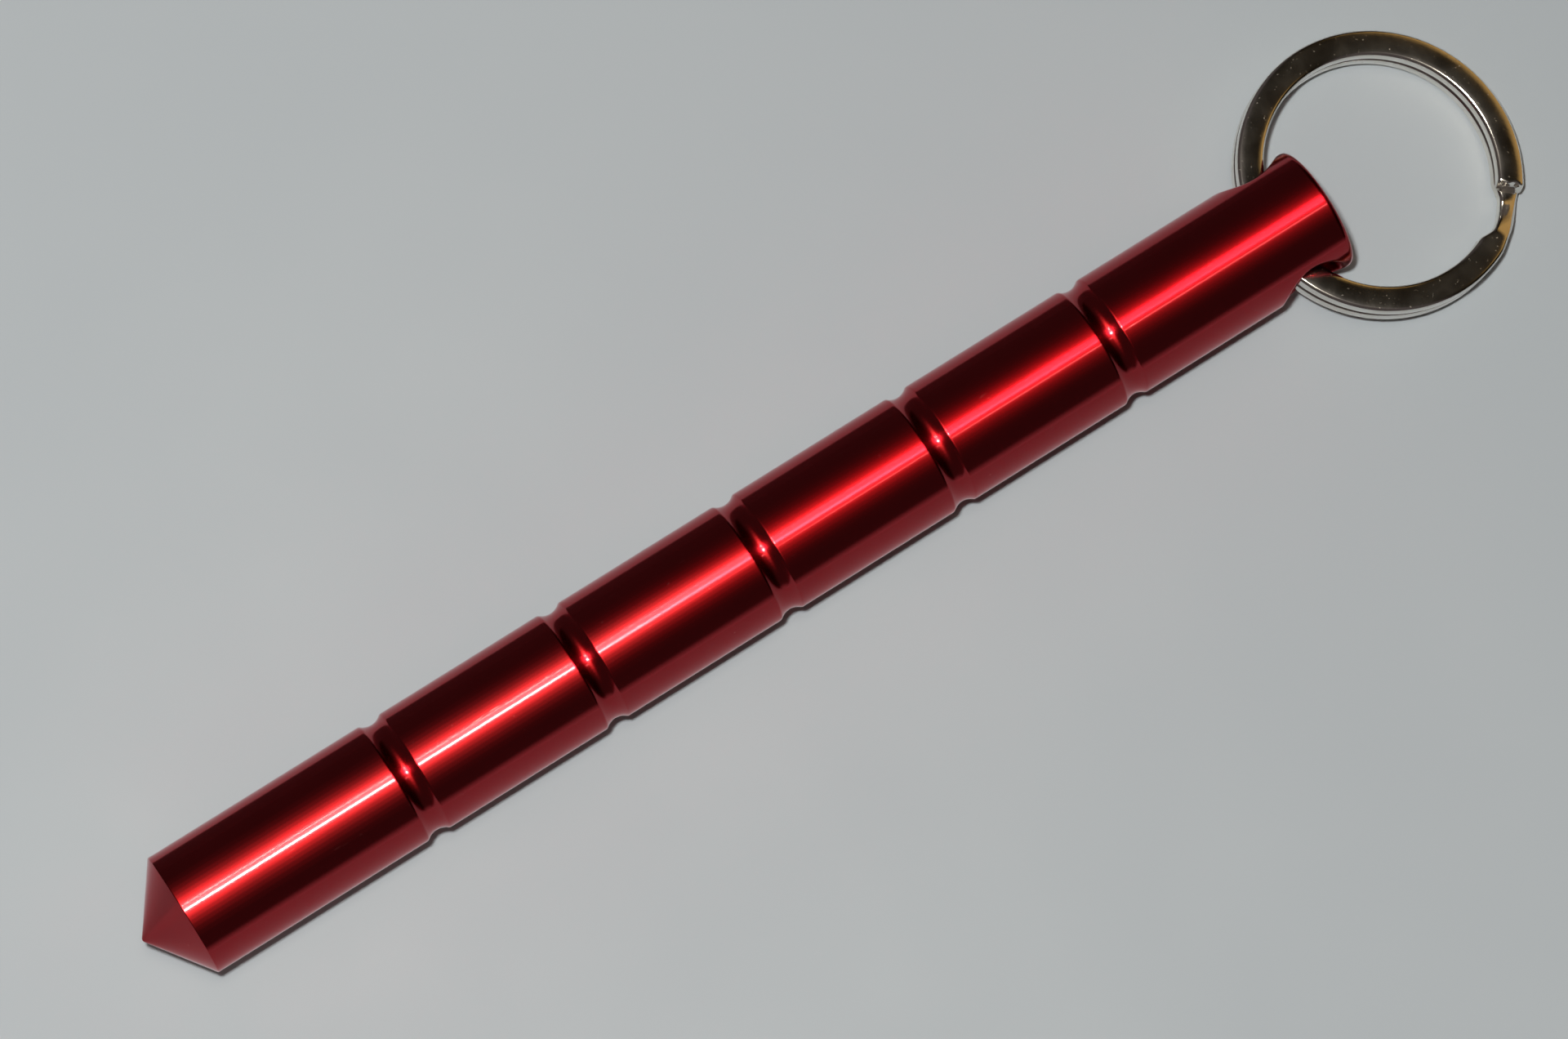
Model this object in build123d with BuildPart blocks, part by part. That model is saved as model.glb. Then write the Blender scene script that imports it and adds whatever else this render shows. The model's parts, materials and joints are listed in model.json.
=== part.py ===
from build123d import *
import os
from math import asin, atan2, cos, hypot, radians, sin, tan

# A pocket stick for a key ring: a turned, anodised aluminium rod with a pointed
# tip, five shallow grip grooves and a cross hole near its flat end, with a
# split key ring through the hole. The stick lies on a table along X. The origin
# is the centre of the flat end face, +X points out of that face, the tip points
# along -X, Y runs along the cross hole and +Z is up. All sizes in millimetres.

# Driving dimensions of the stick
stick_length = 141.0
stick_diameter = 13.4
cone_half_angle = 54.2
tip_round = 0.4
end_round = 0.6

# Grip grooves, placed by their distance from the tip
first_groove = 30.7
first_gap = 21.2
groove_pitch = 20.83
groove_count = 5
groove_width = 2.5
groove_depth = 0.5
groove_edge_round = 0.4

# Cross hole for the split ring
hole_diameter = 7.1
hole_to_end = 4.75
hole_edge_round = 0.5

# Split ring, wound from flat wire in two turns that lie on each other
ring_diameter = 30.3
wire_width = 2.8
wire_thickness = 1.6
turn_gap = 0.1
wire_round = 0.4

# Where the ring hangs in the hole: its centre beyond the hole's axis, and its
# middle plane below that axis, because the wire lies on the bottom of the hole
ring_offset = 12.85
ring_drop = 1.1

# Crossover, where the wire steps from the upper turn to the lower one.
# Angles are round the ring's centre, from the side away from the stick.
neck_start = -67.0
neck_end = -33.0
descent_start = -60.0
descent_end = -40.5
upper_end_angle = -38.0
lower_end_angle = -63.0
neck_ease = 9.0
neck_width = 1.8
neck_shift = 0.25
neck_sections = 12

# Worked sizes
stick_radius = stick_diameter / 2
tip_x = -stick_length
cone_slope = radians(cone_half_angle)
groove_arc = (groove_width**2 / 4 + groove_depth**2) / (2 * groove_depth)
hole_x = -hole_to_end
ring_radius = ring_diameter / 2
wire_radius = ring_radius - wire_width / 2
turn_height = (wire_thickness + turn_gap) / 2
ring_half_height = turn_height + wire_thickness / 2
tolerance = 0.01


def groove_x(index):
    """Centre of one groove along the stick."""
    return tip_x + first_groove + (first_gap + (index - 1) * groove_pitch if index else 0)


def resting_tilt():
    """Angle the ring drops by, about the hole, until its far edge meets the table."""
    reach = ring_offset + ring_radius - wire_round
    drop = ring_drop + ring_half_height - wire_round
    room = stick_radius - wire_round
    return asin(room / hypot(reach, drop)) - atan2(drop, reach)


tilt = resting_tilt()
hole_plane = Plane(
    origin=(hole_x, 0, 0),
    x_dir=(cos(tilt), 0, -sin(tilt)),
    z_dir=(sin(tilt), 0, cos(tilt)),
)
ring_plane = Plane(
    origin=hole_plane.from_local_coords(Vector(ring_offset, 0, -ring_drop)),
    x_dir=hole_plane.x_dir,
    z_dir=hole_plane.z_dir,
)


def ease(value):
    """Smooth step from 0 to 1, flat at both ends."""
    value = min(max(value, 0), 1)
    return value * value * (3 - 2 * value)


def wire_plane(angle, shift, height):
    """Plane across the wire: x away from the ring's centre, y along the ring's axis."""
    out = Vector(cos(radians(angle)), sin(radians(angle)), 0)
    along = Vector(-sin(radians(angle)), cos(radians(angle)), 0)
    centre = out * (wire_radius + shift) + Vector(0, 0, height)
    return Plane(
        origin=ring_plane.from_local_coords(centre),
        x_dir=ring_plane.from_local_coords(out) - ring_plane.origin,
        z_dir=ring_plane.origin - ring_plane.from_local_coords(along),
    )


def neck_amount(angle):
    """How far the wire is pinched at this angle, 0 for none and 1 for fully."""
    return ease((angle - neck_start) / neck_ease) * ease((neck_end - angle) / neck_ease)


def neck_height(angle):
    """Height of the wire's middle in the crossover."""
    return turn_height * (1 - 2 * ease((angle - descent_start) / (descent_end - descent_start)))


os.makedirs("parts", exist_ok=True)

# The stick: one turned bar, then the grooves and the cross hole cut into it
with BuildPart() as stick_body:
    with BuildSketch(Plane.XZ):
        with BuildLine():
            nose = CenterArc((tip_x + tip_round, 0), tip_round, 180, cone_half_angle - 90)
            cone_rise = stick_radius - (nose @ 1).Y
            cone = Line(nose @ 1, (nose @ 1) + Vector(cone_rise / tan(cone_slope), cone_rise))
            side = Line(cone @ 1, (0, stick_radius))
            end = Line(side @ 1, (0, 0))
            Line(end @ 1, nose @ 0)
        make_face()
    revolve(axis=Axis.X)

    with BuildSketch(Plane.XZ):
        for index in range(groove_count):
            with Locations((groove_x(index), stick_radius - groove_depth + groove_arc)):
                Circle(groove_arc)
    revolve(axis=Axis.X, mode=Mode.SUBTRACT)
    groove_edges = [
        edge
        for edge in stick_body.edges().filter_by(GeomType.CIRCLE)
        if abs(edge.radius - stick_radius) < tolerance
        and groove_x(0) - groove_width < edge.center().X < groove_x(groove_count - 1) + groove_width
    ]
    fillet(groove_edges, groove_edge_round)

    end_edge = stick_body.faces().sort_by(Axis.X)[-1].edges()
    fillet(end_edge, end_round)

    with BuildSketch(Plane.XZ):
        with Locations((hole_x, 0)):
            Circle(hole_diameter / 2)
    extrude(amount=stick_diameter, both=True, mode=Mode.SUBTRACT)
    hole_wall = stick_body.faces().filter_by(GeomType.CYLINDER).filter_by(
        lambda face: abs(face.radius - hole_diameter / 2) < tolerance
    )
    hole_edges = [edge for edge in hole_wall.edges() if abs(edge.center().Y) > stick_radius / 2]
    fillet(hole_edges, hole_edge_round)

stick_body.part.label = "stick_body"
export_step(stick_body.part, "parts/stick_body.step")

# The split ring: an upper turn, a lower turn and the crossover between them
with BuildPart() as split_ring:
    with BuildSketch(wire_plane(upper_end_angle, 0, turn_height)):
        RectangleRounded(wire_width, wire_thickness, wire_round)
    revolve(
        axis=Axis(ring_plane.origin, ring_plane.z_dir),
        revolution_arc=neck_start + 360 - upper_end_angle,
    )

    with BuildSketch(wire_plane(neck_end, 0, -turn_height)):
        RectangleRounded(wire_width, wire_thickness, wire_round)
    revolve(
        axis=Axis(ring_plane.origin, ring_plane.z_dir),
        revolution_arc=lower_end_angle + 360 - neck_end,
    )

    for step in range(neck_sections + 1):
        angle = neck_start + (neck_end - neck_start) * step / neck_sections
        pinch = neck_amount(angle)
        with BuildSketch(wire_plane(angle, neck_shift * pinch, neck_height(angle))):
            width = wire_width + (neck_width - wire_width) * pinch
            RectangleRounded(width, wire_thickness, wire_round)
    loft()

split_ring.part.label = "split_ring"
export_step(split_ring.part, "parts/split_ring.step")
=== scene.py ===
import json
from math import asin, atan2, cos, exp, hypot, pi, radians, sin, sqrt, tan

import bmesh
import bpy
from mathutils import Matrix, Vector


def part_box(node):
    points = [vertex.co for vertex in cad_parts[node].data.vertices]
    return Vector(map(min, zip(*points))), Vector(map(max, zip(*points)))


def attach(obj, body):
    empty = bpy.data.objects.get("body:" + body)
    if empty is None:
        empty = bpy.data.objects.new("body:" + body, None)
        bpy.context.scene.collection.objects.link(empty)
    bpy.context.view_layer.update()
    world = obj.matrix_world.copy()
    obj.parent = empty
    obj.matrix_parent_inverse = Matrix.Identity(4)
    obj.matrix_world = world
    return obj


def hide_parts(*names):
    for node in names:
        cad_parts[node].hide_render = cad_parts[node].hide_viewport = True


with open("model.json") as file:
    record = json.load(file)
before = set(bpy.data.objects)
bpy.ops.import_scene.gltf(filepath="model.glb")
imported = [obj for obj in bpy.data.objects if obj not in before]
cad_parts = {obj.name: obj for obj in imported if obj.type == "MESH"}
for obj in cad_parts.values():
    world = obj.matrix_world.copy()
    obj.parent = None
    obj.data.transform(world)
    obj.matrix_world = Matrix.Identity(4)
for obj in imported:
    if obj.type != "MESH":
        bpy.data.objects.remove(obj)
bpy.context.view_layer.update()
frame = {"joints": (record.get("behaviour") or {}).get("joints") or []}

# ---------------------------------------------------------------- sizes, in metres
MM = 0.001

stick_low, stick_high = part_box("stick_body")
stick_radius = (stick_high.z - stick_low.z) / 2
tip_x = stick_low.x
end_x = stick_high.x
table_z = stick_low.z

ring_swing = next(joint for joint in frame["joints"] if joint["name"] == "ring_swing")
hole_x = ring_swing["pos_m"][0]

# The turned shape
cone_half_angle = radians(54.2)
tip_round = 0.4 * MM
cone_edge_round = 0.12 * MM
end_round = 0.6 * MM

first_groove = 30.7 * MM
first_gap = 21.2 * MM
groove_pitch = 20.83 * MM
groove_count = 5
groove_width = 2.5 * MM
groove_depth = 0.5 * MM
groove_edge_round = 0.4 * MM

hole_radius = 3.55 * MM
hole_edge_round = 0.5 * MM
hole_edge_depth = 1.2 * hole_edge_round

# The ring's flat wire. Its faces are a little crowned and its cut ends are sloped and torn
ring_low, ring_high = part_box("split_ring")
ring_radius = (ring_high.y - ring_low.y) / 2
wire_width = 2.8 * MM
wire_thickness = 1.6 * MM
turn_gap = 0.1 * MM
wire_round = 0.4 * MM
wire_crown = 0.07 * MM
cut_slope = 0.6 * MM
cut_stations = 6
cut_bulge = 0.08 * MM
tear_share = 0.2
tear_length = 0.22 * MM
ring_offset = 12.85 * MM
ring_drop = 1.1 * MM
wire_radius = ring_radius - wire_width / 2
turn_height = (wire_thickness + turn_gap) / 2

# The crossover between the turns. Angles round the ring, from the side away from the stick
upper_end_angle = -38
lower_end_angle = -63
neck_start = -67
neck_end = -33
descent_start = -60
descent_end = -40.5
neck_ease = 9
neck_width = 1.8 * MM
neck_shift = 0.25 * MM

# A long lens, looking down on the table from the tip's side
view_azimuth = radians(-138.33)
view_elevation = radians(79.26)
view_roll = radians(15.90)
view_distance = 730.2 * MM
view_target = Vector((tip_x + 78.10 * MM, 2.65 * MM, table_z))
lens = 164.3
lamp_height = 720 * MM

# Points round the stick, and the short straight kept beside each rounding so that it shades evenly
segments = 360
hold = 0.05 * MM


# ---------------------------------------------------------------- small helpers
def ease(value):
    """Smooth step from 0 to 1, flat at both ends."""
    value = min(max(value, 0), 1)
    return value * value * (3 - 2 * value)


def arc(centre_x, centre_r, radius, start, end, steps):
    """Points on an arc in the (x, r) profile plane, angles in radians from +x."""
    points = []
    for step in range(steps + 1):
        angle = start + (end - start) * step / steps
        points.append((centre_x + radius * cos(angle), centre_r + radius * sin(angle)))
    return points


def finish_mesh(name, bm, body, node):
    """Turns a bmesh into a smooth piece that rides on a body in place of a CAD node."""
    bmesh.ops.recalc_face_normals(bm, faces=bm.faces)
    mesh = bpy.data.meshes.new(name)
    bm.to_mesh(mesh)
    bm.free()
    for polygon in mesh.polygons:
        polygon.use_smooth = True
    piece = bpy.data.objects.new(name, mesh)
    bpy.context.scene.collection.objects.link(piece)
    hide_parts(node)
    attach(piece, body)
    return piece


# ---------------------------------------------------------------- stick profile
def groove_x(index):
    """Centre of one groove along the stick."""
    later = first_gap + (index - 1) * groove_pitch if index else 0
    return tip_x + first_groove + later


def tip_profile():
    """Rounded point, cone, and the crisp edge where the cone meets the shank."""
    slope = cone_half_angle
    nose_x = tip_x + tip_round
    points = arc(nose_x, 0, tip_round, pi, pi / 2 + slope, 8)[1:]
    point_x, point_r = points[-1]
    base_x = point_x + (stick_radius - point_r) / tan(slope)
    turn = cone_edge_round * tan(slope / 2)
    before = (base_x - turn * cos(slope), stick_radius - turn * sin(slope))
    # Stations along the cone, close together at both ends
    for part in (0.03, 0.3, 0.6, 0.9, 0.99):
        points.append((
            point_x + (before[0] - point_x) * part,
            point_r + (before[1] - point_r) * part,
        ))
    rounding = arc(base_x + turn, stick_radius - cone_edge_round, cone_edge_round,
                   pi / 2 + slope, pi / 2, 5)
    return points + rounding + [(base_x + turn + hold, stick_radius)]


def groove_profile(centre):
    """A shallow round-bottomed groove with softened edges."""
    arc_radius = (groove_width**2 / 4 + groove_depth**2) / (2 * groove_depth)
    arc_r = stick_radius - groove_depth + arc_radius
    edge_r = stick_radius - groove_edge_round
    reach = arc_radius + groove_edge_round
    edge_x = sqrt(reach**2 - (arc_r - edge_r) ** 2)
    lean = atan2(edge_x, arc_r - edge_r)
    left = arc(centre - edge_x, edge_r, groove_edge_round, pi / 2, pi / 2 - lean, 5)
    floor = arc(centre, arc_r, arc_radius, -pi / 2 - lean, -pi / 2 + lean, 22)
    right = arc(centre + edge_x, edge_r, groove_edge_round, pi / 2 + lean, pi / 2, 5)
    start = [(centre - edge_x - hold, stick_radius)]
    stop = [(centre + edge_x + hold, stick_radius)]
    return start + left + floor[1:-1] + right + stop


def end_profile():
    """The rounded edge of the flat end, then the face in to its centre."""
    rounding = arc(end_x - end_round, stick_radius - end_round, end_round, pi / 2, 0, 10)
    start = [(end_x - end_round - hold, stick_radius)]
    face_r = stick_radius - end_round
    face = [(end_x, face_r - hold), (end_x, face_r * 0.6), (end_x, face_r * 0.2)]
    return start + rounding + face


# The hole's patch: a window in the turned surface, filled round each mouth
window_margin = 0.04 * MM
window_half_x = hole_radius + hole_edge_round + window_margin
window_half_angle = radians(42)
window_stations = 24


def window_profile():
    """Stations along the shank that the hole's patch joins on to."""
    start = hole_x - window_half_x
    step = 2 * window_half_x / window_stations
    return [(start + step * index, stick_radius) for index in range(window_stations + 1)]


def stick_profile():
    """The whole outline from the tip to the flat end, as (x, r) points."""
    points = tip_profile()
    for index in range(groove_count):
        points += groove_profile(groove_x(index))
    return points + window_profile() + end_profile()


# ---------------------------------------------------------------- stick mesh
def hole_patch(bm, border, side):
    """Fills the window round one mouth of the cross hole and returns the loop inside the hole."""
    mouth = hole_radius + hole_edge_round
    directions = []
    for vert in border:
        across = stick_radius * asin(vert.co.z / stick_radius)
        directions.append(atan2(across, vert.co.x - hole_x))

    def on_shank(x, angle):
        """A point on the turned surface, at an angle round it from the mouth's middle."""
        return Vector((x, side * stick_radius * cos(angle), stick_radius * sin(angle)))

    def rounded_edge(direction, part):
        """A point on the mouth's soft edge, on a curve from the shank round into the hole."""
        rise = sin(direction)
        outer_y = sqrt(stick_radius**2 - (mouth * rise) ** 2)
        corner_y = sqrt(stick_radius**2 - (hole_radius * rise) ** 2)
        inner_y = corner_y - hole_edge_depth
        rho = (1 - part) ** 2 * mouth + (1 - (1 - part) ** 2) * hole_radius
        y = (1 - part) ** 2 * outer_y + 2 * part * (1 - part) * corner_y + part**2 * inner_y
        return Vector((hole_x + rho * cos(direction), side * y, rho * rise))

    # From the window's edge towards the mouth, then over the mouth's edge
    loops = [border]
    for share in (0.25, 0.5, 0.7, 0.85, 0.94, 0.985):
        loop = []
        for vert, direction in zip(border, directions):
            border_angle = asin(vert.co.z / stick_radius)
            mouth_angle = asin(mouth * sin(direction) / stick_radius)
            mouth_x = hole_x + mouth * cos(direction)
            x = vert.co.x + (mouth_x - vert.co.x) * share
            angle = border_angle + (mouth_angle - border_angle) * share
            loop.append(bm.verts.new(on_shank(x, angle)))
        loops.append(loop)
    for part in (0, 0.15, 0.3, 0.45, 0.6, 0.75, 0.9, 1):
        loops.append([bm.verts.new(rounded_edge(direction, part)) for direction in directions])
    join_loops(bm, loops)
    return loops[-1]


def join_loops(bm, loops):
    """Quads between closed loops that have the same number of points."""
    count = len(loops[0])
    for first, second in zip(loops, loops[1:]):
        for index in range(count):
            after = (index + 1) % count
            bm.faces.new((first[index], first[after], second[after], second[index]))


def build_stick():
    """The turned bar with its grooves, and the cross hole with softened mouths."""
    profile = stick_profile()
    window_first = profile.index(window_profile()[0])
    window_last = window_first + window_stations
    half = round(window_half_angle / (2 * pi) * segments)

    bm = bmesh.new()
    rings = []
    for x, r in profile:
        ring = []
        for index in range(segments):
            angle = 2 * pi * index / segments
            ring.append(bm.verts.new((x, r * cos(angle), r * sin(angle))))
        rings.append(ring)

    def in_window(row, index):
        """True for the quads that the two hole patches take the place of."""
        near = (index + half) % segments < 2 * half
        far = (index + half + segments // 2) % segments < 2 * half
        return window_first <= row < window_last and (near or far)

    for row in range(len(rings) - 1):
        for index in range(segments):
            if in_window(row, index):
                continue
            after = (index + 1) % segments
            bm.faces.new((rings[row][index], rings[row][after],
                          rings[row + 1][after], rings[row + 1][index]))

    for ring, x in ((rings[0], tip_x), (rings[-1], end_x)):
        pole = bm.verts.new((x, 0, 0))
        for index in range(segments):
            bm.faces.new((ring[index], ring[(index + 1) % segments], pole))

    def border(side):
        """The window's edge, the same way round for both mouths."""
        def station(row, step):
            index = step if side > 0 else segments // 2 - step
            return rings[row][index % segments]

        rows = range(window_first, window_last)
        steps = range(-half, half)
        low = [station(row, -half) for row in rows]
        right = [station(window_last, step) for step in steps]
        high = [station(row, half) for row in reversed(range(window_first + 1, window_last + 1))]
        left = [station(window_first, step) for step in reversed(range(-half + 1, half + 1))]
        return low + right + high + left

    # The hole's wall runs straight from one mouth's loop to the other's
    near_loop = hole_patch(bm, border(1), 1)
    far_loop = hole_patch(bm, border(-1), -1)
    wall = [near_loop]
    wall_steps = 8
    for step in range(1, wall_steps):
        part = step / wall_steps
        wall.append([
            bm.verts.new(near.co.lerp(far.co, part)) for near, far in zip(near_loop, far_loop)
        ])
    join_loops(bm, wall + [far_loop])

    loose = [vert for vert in bm.verts if not vert.link_faces]
    bmesh.ops.delete(bm, geom=loose, context="VERTS")
    return finish_mesh("stick_visual", bm, "stick", "stick_body")


# ---------------------------------------------------------------- ring mesh
def resting_tilt():
    """Angle the ring drops by, about the hole, until its far edge meets the table."""
    reach = ring_offset + ring_radius - wire_round
    drop = ring_drop + turn_height + wire_thickness / 2 - wire_round
    room = stick_radius - wire_round
    return asin(room / hypot(reach, drop)) - atan2(drop, reach)


def neck_amount(angle):
    """How far the wire is pinched at this angle, 0 for none and 1 for fully."""
    return ease((angle - neck_start) / neck_ease) * ease((neck_end - angle) / neck_ease)


def wire_outline(width, inset=0.0):
    """The wire's rounded rectangle with slightly crowned faces, as (outward, up) points."""
    half_w = width / 2 - inset
    half_t = wire_thickness / 2 - inset
    least_corner = 0.05 * MM
    corner = max(wire_round - inset, least_corner)
    points = []
    for quarter in range(4):
        start = quarter * pi / 2
        sign_w = 1 if quarter in (0, 3) else -1
        sign_t = 1 if quarter in (0, 1) else -1
        points += arc(sign_w * (half_w - corner), sign_t * (half_t - corner), corner,
                      start, start + pi / 2, 7)
        if quarter in (0, 2):
            flat = half_w - corner
            points += [(sign_w * flat * part, sign_t * half_t) for part in (0.6, 0.2, -0.2, -0.6)]
    return [(w, t * (1 - wire_crown * (w / half_w) ** 2 / half_t)) for w, t in points]


def wire_path():
    """Stations from the upper turn's cut end, round twice, to the lower turn's cut end."""
    first = upper_end_angle
    last = lower_end_angle + 720
    steps = 520
    stations = []
    for step in range(steps + 1):
        angle = first + (last - first) * step / steps
        crossing = angle - 360
        pinch = neck_amount(crossing)
        drop = ease((crossing - descent_start) / (descent_end - descent_start))
        stations.append({
            "angle": radians(angle),
            "height": turn_height * (1 - 2 * drop),
            "radius": wire_radius + neck_shift * pinch,
            "width": wire_width + (neck_width - wire_width) * pinch,
        })
    return stations


def build_ring():
    """Flat wire wound in two turns, with a pinched crossover and sheared ends."""
    tilt = resting_tilt()
    axis_x = Vector((cos(tilt), 0, -sin(tilt)))
    axis_y = Vector((0, 1, 0))
    axis_z = Vector((sin(tilt), 0, cos(tilt)))
    centre = Vector((hole_x, 0, 0)) + axis_x * ring_offset - axis_z * ring_drop

    bm = bmesh.new()

    def loop(station, inset=0.0, along=0.0, slope=0.0):
        """The wire's outline at a station, its top moved along the wire by the slope."""
        out = axis_x * cos(station["angle"]) + axis_y * sin(station["angle"])
        forward = axis_y * cos(station["angle"]) - axis_x * sin(station["angle"])
        middle = centre + out * station["radius"] + axis_z * station["height"]
        verts = []
        for w, t in wire_outline(station["width"], inset):
            height = 0.5 + t / wire_thickness
            ragged = 1 + tear_share * sin(w / tear_length)
            shift = along + slope * height * ragged
            verts.append(bm.verts.new(middle + out * w + axis_z * t + forward * shift))
        return verts

    def cut_end(station, direction):
        """Loops that close one end: a softened shear edge, then a slightly torn face."""
        depth = direction * cut_bulge
        steps = ((0, 0), (0.02, 0.55), (0.06, 0.9), (0.14, 1), (0.4, 0.7), (0.62, 0.95))
        return [
            loop(station, inset * MM, depth * share, -direction * cut_slope)
            for inset, share in steps
        ]

    path = wire_path()
    start = list(reversed(cut_end(path[0], -1)))
    stop = cut_end(path[-1], 1)

    # The slope of each cut eases out over the stations next to it
    middle = []
    for index, station in enumerate(path[1:-1], start=1):
        from_start = max(0, 1 - index / cut_stations)
        from_stop = max(0, 1 - (len(path) - 1 - index) / cut_stations)
        middle.append(loop(station, slope=cut_slope * (from_start - from_stop)))
    loops = start + middle + stop
    join_loops(bm, loops)
    for end in (loops[0], loops[-1]):
        bm.faces.new(end)
    return finish_mesh("ring_visual", bm, "ring", "split_ring")


# ---------------------------------------------------------------- node helpers
class Nodes:
    """A short way to write a material's node tree."""

    def __init__(self, name):
        self.material = bpy.data.materials.new(name)
        self.material.use_nodes = True
        self.tree = self.material.node_tree
        self.surface = self.tree.nodes["Principled BSDF"]

    def add(self, kind, inputs=None, **settings):
        node = self.tree.nodes.new(kind)
        for key, value in settings.items():
            setattr(node, key, value)
        for key, value in (inputs or {}).items():
            self.put(value, node.inputs[key])
        return node

    def put(self, value, socket):
        if isinstance(value, bpy.types.NodeSocket):
            self.tree.links.new(value, socket)
        else:
            socket.default_value = value

    def maths(self, operation, first, second=0.0):
        return self.add("ShaderNodeMath", {0: first, 1: second}, operation=operation).outputs[0]

    def noise(self, vector, scale, detail=3.0, roughness=0.5):
        node = self.add("ShaderNodeTexNoise", {
            "Vector": vector, "Scale": scale, "Detail": detail, "Roughness": roughness,
        })
        return node.outputs["Fac"]

    def stretch(self, vector, scale):
        return self.add("ShaderNodeMapping", {"Vector": vector, "Scale": scale}).outputs[0]

    def remap(self, value, low, high, new_low, new_high):
        node = self.add("ShaderNodeMapRange", {
            "Value": value, "From Min": low, "From Max": high, "To Min": new_low, "To Max": new_high,
        })
        return node.outputs[0]

    def mix_colour(self, factor, first, second):
        node = self.add("ShaderNodeMix", data_type="RGBA")
        self.put(factor, node.inputs[0])
        self.put(first, node.inputs[6])
        self.put(second, node.inputs[7])
        return node.outputs[2]


# ---------------------------------------------------------------- materials
def red_anodised():
    """Dyed oxide over turned aluminium: fine lathe lines that draw highlights out along the stick."""
    nodes = Nodes("red_anodised")
    place = nodes.add("ShaderNodeTexCoord").outputs["Object"]
    along = nodes.add("ShaderNodeSeparateXYZ", {0: place}).outputs[0]

    # Rings left by the lathe, smudges, and specks and scratches where the dye has worn
    lathe_place = nodes.add("ShaderNodeCombineXYZ", {0: along}).outputs[0]
    lathe = nodes.noise(lathe_place, 9000.0, 4.0, 0.7)
    smudge = nodes.noise(place, 160.0, 3.0)
    speck_noise = nodes.noise(place, 1300.0, 2.0)
    specks = nodes.remap(speck_noise, 0.76, 0.8, 0.0, 1.0)
    scratch_place = nodes.stretch(place, (300.0, 2600.0, 2600.0))
    scratch = nodes.remap(nodes.noise(scratch_place, 1.0, 2.0), 0.74, 0.8, 0.0, 1.0)

    dye = nodes.mix_colour(smudge, (0.39, 0.007, 0.014, 1), (0.34, 0.005, 0.011, 1))
    worn = nodes.maths("MULTIPLY", nodes.maths("MAXIMUM", specks, scratch), 0.35)
    colour = nodes.mix_colour(worn, dye, (0.75, 0.30, 0.28, 1))
    nodes.put(colour, nodes.surface.inputs["Base Color"])
    nodes.put(1.0, nodes.surface.inputs["Metallic"])

    rough = nodes.maths("ADD", nodes.remap(lathe, 0.3, 0.7, 0.17, 0.21),
                        nodes.remap(smudge, 0.3, 0.7, -0.02, 0.02))
    nodes.put(rough, nodes.surface.inputs["Roughness"])
    nodes.put(0.9, nodes.surface.inputs["Anisotropic"])
    nodes.put((1.0, 0.6, 0.62, 1), nodes.surface.inputs["Specular Tint"])

    # The highlight's direction: along the stick on its side, and outwards on its end face
    grain = nodes.add("ShaderNodeVectorMath", {0: place, 1: (0.0, 30.0, 30.0)},
                      operation="MULTIPLY").outputs[0]
    tangent = nodes.add("ShaderNodeVectorMath", {0: grain, 1: (1.0, 0.0, 0.0)}, operation="ADD")
    world_tangent = nodes.add("ShaderNodeVectorTransform", {0: tangent.outputs[0]},
                              vector_type="VECTOR", convert_from="OBJECT", convert_to="WORLD")
    nodes.put(world_tangent.outputs[0], nodes.surface.inputs["Tangent"])

    # The clear sealed oxide over the dye
    nodes.put(0.6, nodes.surface.inputs["Coat Weight"])
    nodes.put(0.1, nodes.surface.inputs["Coat Roughness"])
    nodes.put(1.5, nodes.surface.inputs["Coat IOR"])

    bump = nodes.add("ShaderNodeBump", {"Strength": 0.06, "Distance": 0.00001, "Height": lathe})
    nodes.put(bump.outputs[0], nodes.surface.inputs["Normal"])
    return nodes.material


def nickel_plate():
    """Bright nickel over steel wire, a little uneven and tarnished."""
    nodes = Nodes("nickel_plate")
    place = nodes.add("ShaderNodeTexCoord").outputs["Object"]
    cloud = nodes.noise(place, 260.0, 3.0)
    pit = nodes.remap(nodes.noise(place, 2600.0, 3.0), 0.66, 0.74, 0.0, 1.0)
    wave = nodes.noise(place, 900.0, 3.0)

    # Tarnish in clouds, darker in the pits
    plate = nodes.mix_colour(nodes.remap(cloud, 0.35, 0.65, 0.0, 1.0),
                             (0.86, 0.83, 0.78, 1), (0.76, 0.72, 0.65, 1))
    colour = nodes.mix_colour(nodes.maths("MULTIPLY", pit, 0.5), plate, (0.36, 0.31, 0.24, 1))
    nodes.put(colour, nodes.surface.inputs["Base Color"])
    nodes.put(1.0, nodes.surface.inputs["Metallic"])
    rough = nodes.maths("ADD", nodes.remap(cloud, 0.3, 0.7, 0.1, 0.16),
                        nodes.maths("MULTIPLY", pit, 0.15))
    nodes.put(rough, nodes.surface.inputs["Roughness"])

    wave_bump = nodes.add("ShaderNodeBump", {
        "Strength": 0.3, "Distance": 0.00003, "Height": wave,
    })
    pit_bump = nodes.add("ShaderNodeBump", {
        "Strength": 0.2, "Distance": 0.00001, "Height": pit, "Normal": wave_bump.outputs[0],
    })
    nodes.put(pit_bump.outputs[0], nodes.surface.inputs["Normal"])
    return nodes.material


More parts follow.
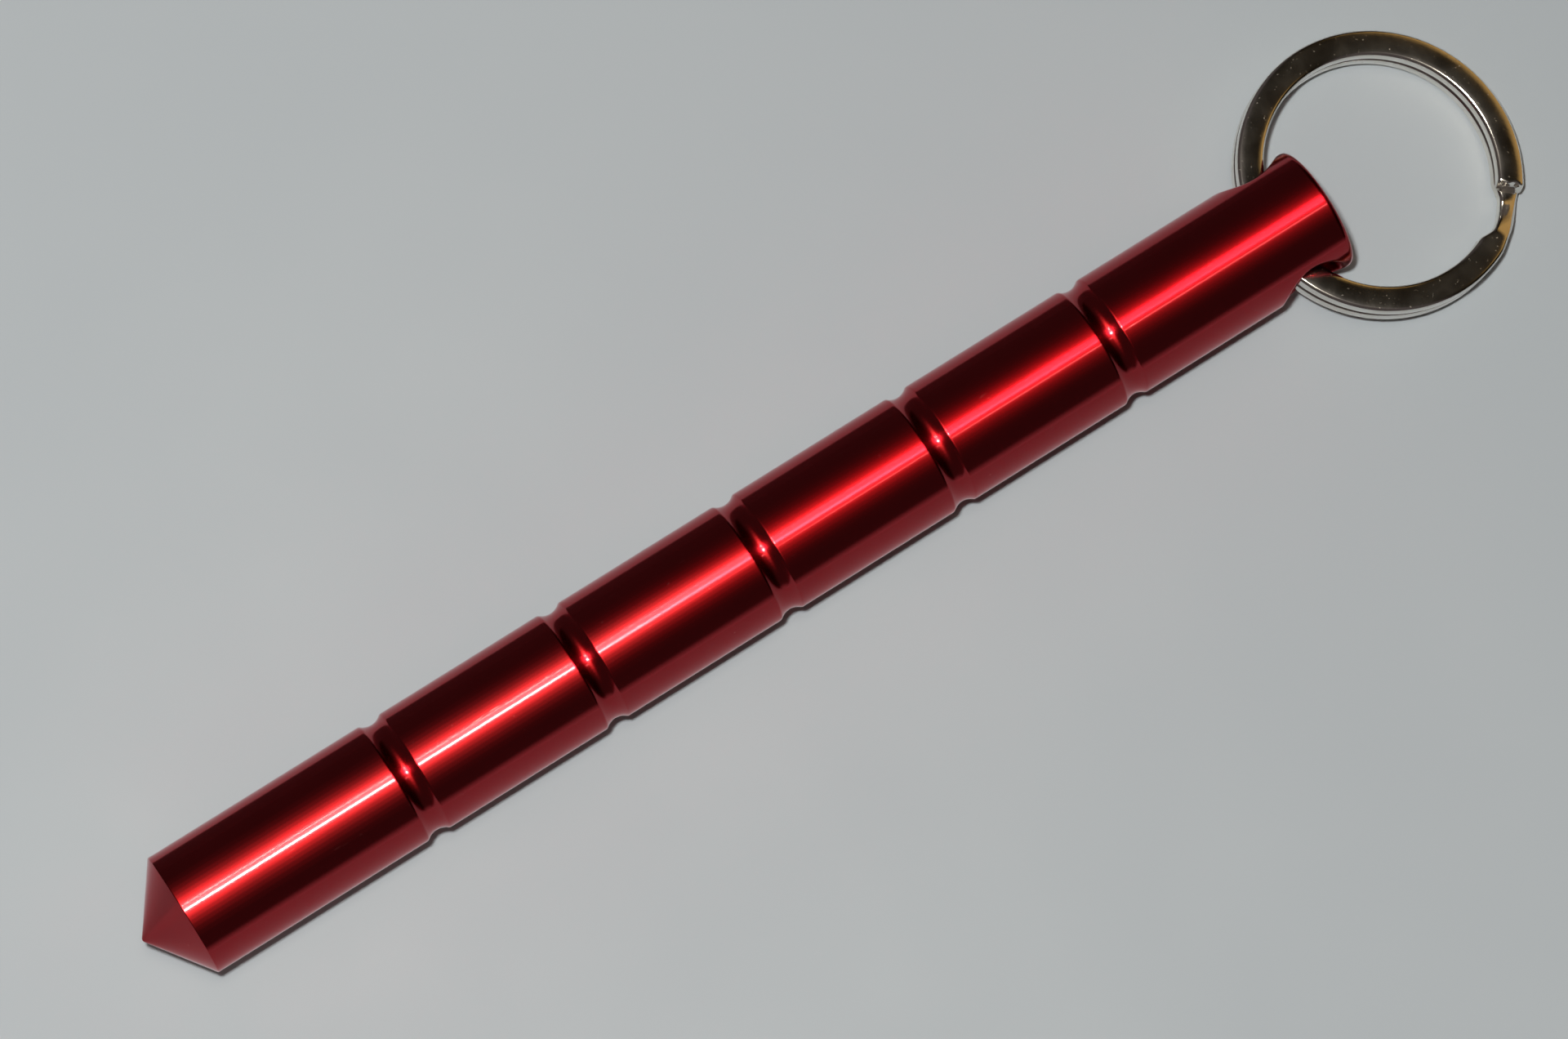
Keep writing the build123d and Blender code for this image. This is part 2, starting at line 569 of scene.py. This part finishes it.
def table_top():
    """Pale laminate with a soft sheen, kept as pale far away as it is under the lamp."""
    nodes = Nodes("table_top")
    place = nodes.add("ShaderNodeTexCoord").outputs["Object"]
    mottle = nodes.noise(place, 25.0, 3.0)
    nodes.put(nodes.mix_colour(mottle, (0.64, 0.67, 0.675, 1), (0.66, 0.69, 0.695, 1)),
              nodes.surface.inputs["Base Color"])
    nodes.put(nodes.remap(mottle, 0.3, 0.7, 0.46, 0.54), nodes.surface.inputs["Roughness"])
    nodes.put(0.15, nodes.surface.inputs["Specular IOR Level"])

    # The lamp's light falls off as 1 / (1 + (distance / height)^2)^2; a faint glow makes it up
    reach = nodes.add("ShaderNodeVectorMath", {0: place, 1: place}, operation="DOT_PRODUCT")
    spread = nodes.maths("ADD", nodes.maths("DIVIDE", reach.outputs["Value"], lamp_height**2), 1.0)
    lost = nodes.maths("SUBTRACT", 1.0, nodes.maths("POWER", spread, -2.0))
    nodes.put((0.39, 0.41, 0.415, 1), nodes.surface.inputs["Emission Color"])
    nodes.put(lost, nodes.surface.inputs["Emission Strength"])
    return nodes.material


# ---------------------------------------------------------------- the object
stick = build_stick()
stick.data.materials.append(red_anodised())
ring = build_ring()
ring.data.materials.append(nickel_plate())

# ---------------------------------------------------------------- table and room
table_size = 6.0
floor_mesh = bpy.data.meshes.new("table")
corner = table_size / 2
floor_mesh.from_pydata(
    [(-corner, -corner, table_z), (corner, -corner, table_z),
     (corner, corner, table_z), (-corner, corner, table_z)],
    [], [(0, 1, 2, 3)],
)
table = bpy.data.objects.new("table", floor_mesh)
bpy.context.scene.collection.objects.link(table)
table.data.materials.append(table_top())


def reflected_card():
    """A low black card that only reflections see, on the table on the +Y side, nearer at the tip:
    painted shade standing in for the darker far table in the stick's reflections.
    """
    reach = 200 * MM
    near_y = 14 * MM
    far_y = 72 * MM
    mesh = bpy.data.meshes.new("card")
    mesh.from_pydata(
        [(-reach, near_y, table_z), (reach, far_y, table_z),
         (reach, far_y, stick_radius), (-reach, near_y, stick_radius)],
        [], [(0, 1, 2, 3)],
    )
    nodes = Nodes("painted_shade_card")
    nodes.put((0.01, 0.008, 0.008, 1), nodes.surface.inputs["Base Color"])
    nodes.put(1.0, nodes.surface.inputs["Roughness"])
    # A faint painted glow on the painted shade, so it reflects as dim grey rather than black
    nodes.put((0.06, 0.05, 0.05, 1), nodes.surface.inputs["Emission Color"])
    nodes.put(1.0, nodes.surface.inputs["Emission Strength"])
    mesh.materials.append(nodes.material)
    card = bpy.data.objects.new("card", mesh)
    card.visible_camera = False
    card.visible_diffuse = False
    card.visible_shadow = False
    bpy.context.scene.collection.objects.link(card)


reflected_card()


def room():
    """A dark room for reflections, with a low pale wall on the -Y side that fades out upwards."""
    world = bpy.data.worlds.new("room")
    bpy.context.scene.world = world
    world.use_nodes = True
    tree = world.node_tree
    tree.nodes.clear()
    place = tree.nodes.new("ShaderNodeTexCoord").outputs["Generated"]

    def patch(direction, low, high, below, above):
        """A colour that changes as the cosine of the angle to a direction goes from low to high."""
        toward = tree.nodes.new("ShaderNodeVectorMath")
        toward.operation = "DOT_PRODUCT"
        toward.inputs[1].default_value = Vector(direction).normalized()
        part = tree.nodes.new("ShaderNodeMapRange")
        part.inputs["From Min"].default_value = low
        part.inputs["From Max"].default_value = high
        blend = tree.nodes.new("ShaderNodeMix")
        blend.data_type = "RGBA"
        blend.inputs[6].default_value = below
        blend.inputs[7].default_value = above
        tree.links.new(place, toward.inputs[0])
        tree.links.new(toward.outputs["Value"], part.inputs[0])
        tree.links.new(part.outputs[0], blend.inputs[0])
        return blend.outputs[2]

    # The wall is palest at the horizon and gone 12 degrees above it
    lean = radians(60)
    fade = radians(12)
    wall = patch((0, sin(lean), cos(lean)), -sin(lean), -sin(lean - fade),
                 (0.36, 0.37, 0.38, 1), (0, 0, 0, 1))

    # Dim everywhere else, and nearly black towards +X
    ceiling = patch((1, 0, 0), 0.25, 0.42, (0.06, 0.05, 0.05, 1), (0.006, 0.004, 0.002, 1))
    both = tree.nodes.new("ShaderNodeVectorMath")
    both.operation = "ADD"
    tree.links.new(wall, both.inputs[0])
    tree.links.new(ceiling, both.inputs[1])

    # Reflections see the room, and the camera sees an even pale backdrop beyond the table
    reflected = tree.nodes.new("ShaderNodeBackground")
    tree.links.new(both.outputs[0], reflected.inputs[0])
    behind = tree.nodes.new("ShaderNodeBackground")
    behind.inputs[0].default_value = (0.36, 0.375, 0.385, 1)
    rays = tree.nodes.new("ShaderNodeLightPath")
    mix = tree.nodes.new("ShaderNodeMixShader")
    out = tree.nodes.new("ShaderNodeOutputWorld")
    tree.links.new(rays.outputs["Is Camera Ray"], mix.inputs[0])
    tree.links.new(reflected.outputs[0], mix.inputs[1])
    tree.links.new(behind.outputs[0], mix.inputs[2])
    tree.links.new(mix.outputs[0], out.inputs[0])


room()


# ---------------------------------------------------------------- lights
def softbox(name, azimuth, elevation, distance, width, height, power, colour):
    """
    An area light aimed at the middle of the stick, its width kept along the stick.
    Angles are in degrees, azimuth from +X towards +Y; sizes in metres and power in watts.
    """
    aim = Vector(((tip_x + end_x) / 2, 0, 0))
    turn, rise = radians(azimuth), radians(elevation)
    away = Vector((cos(rise) * cos(turn), cos(rise) * sin(turn), sin(rise)))
    along = (Vector((1, 0, 0)) - away * away.x).normalized()
    data = bpy.data.lights.new(name, "AREA")
    data.shape = "RECTANGLE"
    data.size = width
    data.size_y = height
    data.energy = power
    data.color = colour
    light = bpy.data.objects.new(name, data)
    light.matrix_world = Matrix.Translation(aim + away * distance) @ Matrix(
        (along, away.cross(along), away)
    ).transposed().to_4x4()
    light.visible_camera = False
    bpy.context.scene.collection.objects.link(light)
    return light


def haze(name, azimuth, elevation, width, brightness, fade, reach):
    """
    Nested red lights, for the dye's glow either side of a highlight. Their summed
    brightness falls by e for each fade angle away from the middle, out to the reach.
    """
    steps = 10
    distance = 1.4
    gap = 0.01
    lights = []

    # Each light reaches a little further out than the one before, in growing steps
    for step in range(steps):
        inner = reach * (step / steps) ** 1.5
        outer = reach * ((step + 1) / steps) ** 1.5
        share = exp(-inner / fade) - exp(-outer / fade)
        height = 2 * distance * tan(radians((inner + outer) / 2))
        power = 4 * width * height * brightness * share
        lights.append(softbox(f"{name}_{step}", azimuth, elevation, distance + gap * step,
                              width, height, power, (1.0, 0.28, 0.26)))
    return lights


def only_on(piece, lights):
    """Lets these lights reach one piece alone."""
    receivers = bpy.data.collections.new(piece.name + "_only")
    receivers.objects.link(piece)
    for light in lights:
        light.light_linking.receiver_collection = receivers


# The long pale streak with its red glow, and the weaker pair by the flat end
key = softbox("key_tube", 118, 87.5, 1.5, 0.34, 0.26, 34.0, (1.0, 0.95, 0.84))
far = softbox("far_tube", -29, 70, 1.5, 0.5, 0.03, 0.3, (1.0, 0.95, 0.9))
glow = haze("key_haze", 128, 86, 0.5, 10.5, 10.0, 62)
glow += haze("far_haze", -8, 69, 0.7, 0.8, 12.0, 40)

# The warm edge of the ring's faces
warm = [
    softbox(f"warm_card_{step}", 3, 20, 1 + 0.01 * step, size, size, 0.3 * size**2, (1.0, 0.6, 0.2))
    for step, size in enumerate((0.8, 0.95, 1.08, 1.2))
]

only_on(stick, [far] + glow)
only_on(ring, warm)
for light in [key, far] + glow + warm:
    light.visible_diffuse = False

# The small lamp overhead lights the table and casts the shadows, but makes no highlight
lamp = softbox("table_lamp", -170, 81.8, lamp_height, 0.035, 0.035, 2.95, (0.95, 0.985, 1.0))
lamp.visible_glossy = False

# ---------------------------------------------------------------- camera
back = Vector((
    cos(view_elevation) * cos(view_azimuth),
    cos(view_elevation) * sin(view_azimuth),
    sin(view_elevation),
))
level_right = Vector((-sin(view_azimuth), cos(view_azimuth), 0))
level_up = back.cross(level_right)
right = level_right * cos(view_roll) + level_up * sin(view_roll)
up = level_up * cos(view_roll) - level_right * sin(view_roll)

camera_data = bpy.data.cameras.new("camera")
camera_data.sensor_width = 36
camera_data.lens = lens
camera = bpy.data.objects.new("camera", camera_data)
bpy.context.scene.collection.objects.link(camera)
camera.matrix_world = Matrix.Translation(view_target + back * view_distance) @ Matrix(
    (right, up, back)
).transposed().to_4x4()
bpy.context.scene.camera = camera
bpy.context.scene.view_settings.view_transform = "Standard"
